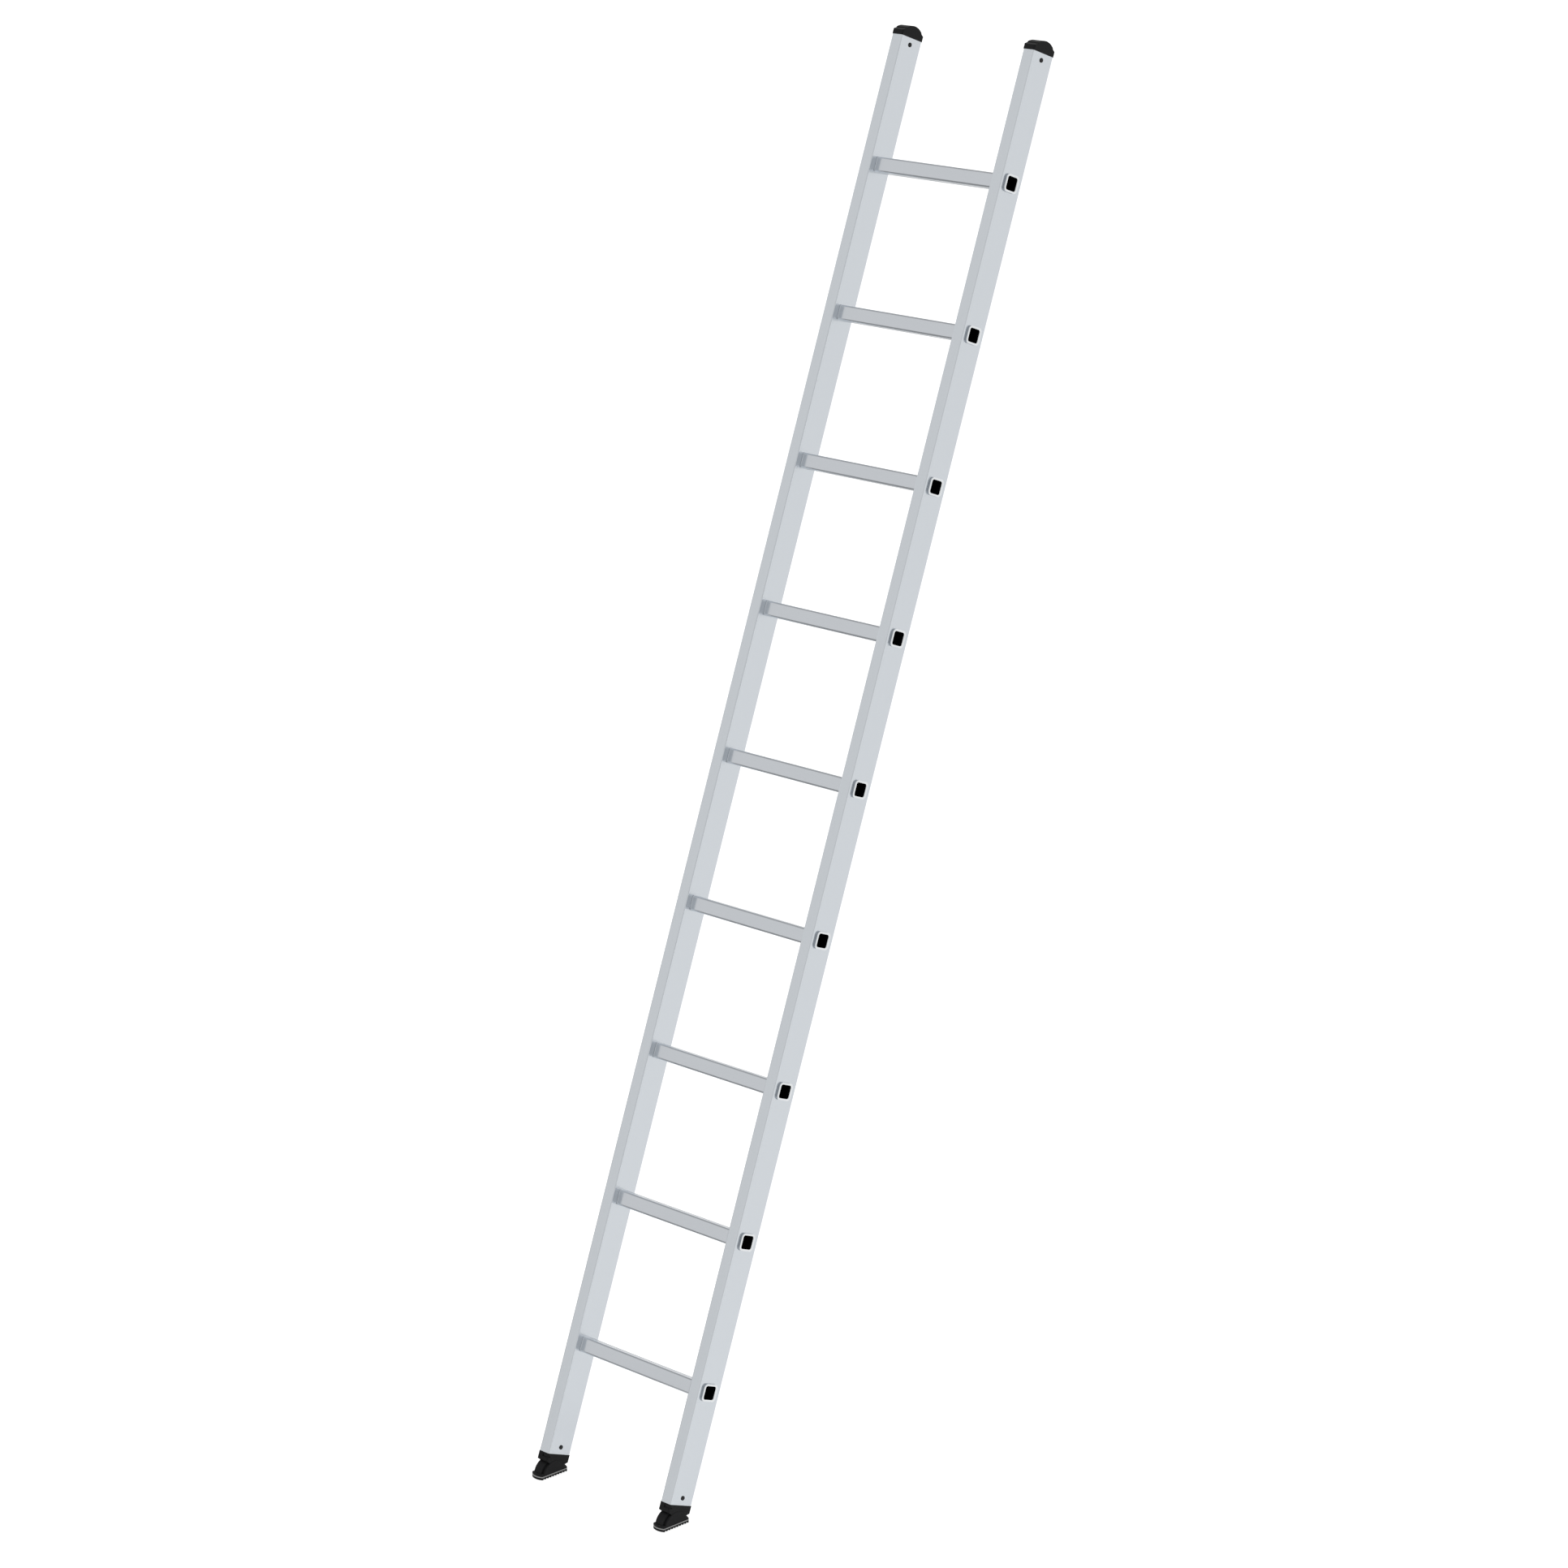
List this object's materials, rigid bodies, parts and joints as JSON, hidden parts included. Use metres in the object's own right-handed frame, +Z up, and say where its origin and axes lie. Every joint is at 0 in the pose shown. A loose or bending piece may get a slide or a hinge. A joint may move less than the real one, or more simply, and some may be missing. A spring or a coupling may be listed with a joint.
{
  "type": "leaning ladder",
  "caption": "Single-section aluminium leaning ladder with box stiles, flared tube rungs, plastic top caps and tilting feet with ribbed soles.",
  "frame": {"origin": "on the floor, under the middle of the ladder's box, half way between the stiles", "axes": "+Z up; +X across the ladder from the left stile to the right one, seen by the climber; +Y the way the ladder leans, from the climber to the wall. The stiles lean 20 degrees from upright."},
  "size_m": [0.358, 0.9982, 2.5894],
  "materials": {
    "stile_aluminium": "mill-finish extrusion, softly reflective, with fine lines along its length",
    "rung_aluminium": "mill-finish extrusion with fine lines and anti-slip grooves",
    "black_nylon": "moulded, satin, fine grain",
    "grey_plate": "mid grey, satin",
    "black_rubber": "matt, ribbed",
    "black_rivet": "black coated blind rivet",
    "zinc_steel": "bright zinc plate"
  },
  "bodies": {
    "ladder": {"stile_left": "stile_aluminium", "top_cap_left": "black_nylon", "foot_holder_left": "black_nylon", "foot_screw_left": "zinc_steel", "saddle_nut_left": "zinc_steel", "rivet_foot_left_inner": "black_rivet", "rivet_foot_left_outer": "black_rivet", "rivet_top_left_inner": "black_rivet", "rivet_top_left_outer": "black_rivet", "stile_right": "stile_aluminium", "top_cap_right": "black_nylon", "foot_holder_right": "black_nylon", "foot_screw_right": "zinc_steel", "saddle_nut_right": "zinc_steel", "rivet_foot_right_inner": "black_rivet", "rivet_foot_right_outer": "black_rivet", "rivet_top_right_inner": "black_rivet", "rivet_top_right_outer": "black_rivet", "rung_1": "rung_aluminium", "rung_2": "rung_aluminium", "rung_3": "rung_aluminium", "rung_4": "rung_aluminium", "rung_5": "rung_aluminium", "rung_6": "rung_aluminium", "rung_7": "rung_aluminium", "rung_8": "rung_aluminium", "rung_9": "rung_aluminium"},
    "shoe_left": {"shoe_body_left": "black_nylon", "sole_plate_left": "grey_plate", "tread_left": "black_rubber"},
    "shoe_right": {"shoe_body_right": "black_nylon", "sole_plate_right": "grey_plate", "tread_right": "black_rubber"}
  },
  "joints": [
    {"name": "tilt_left", "type": "hinge", "parent": "ladder", "child": "shoe_left", "pos_m": [-0.1625, -0.46428, 0.0026], "axis": [1, 0, 0], "range_deg": [-30, 8]},
    {"name": "tilt_right", "type": "hinge", "parent": "ladder", "child": "shoe_right", "pos_m": [0.1625, -0.46428, 0.0026], "axis": [1, 0, 0], "range_deg": [-30, 8]}
  ]
}
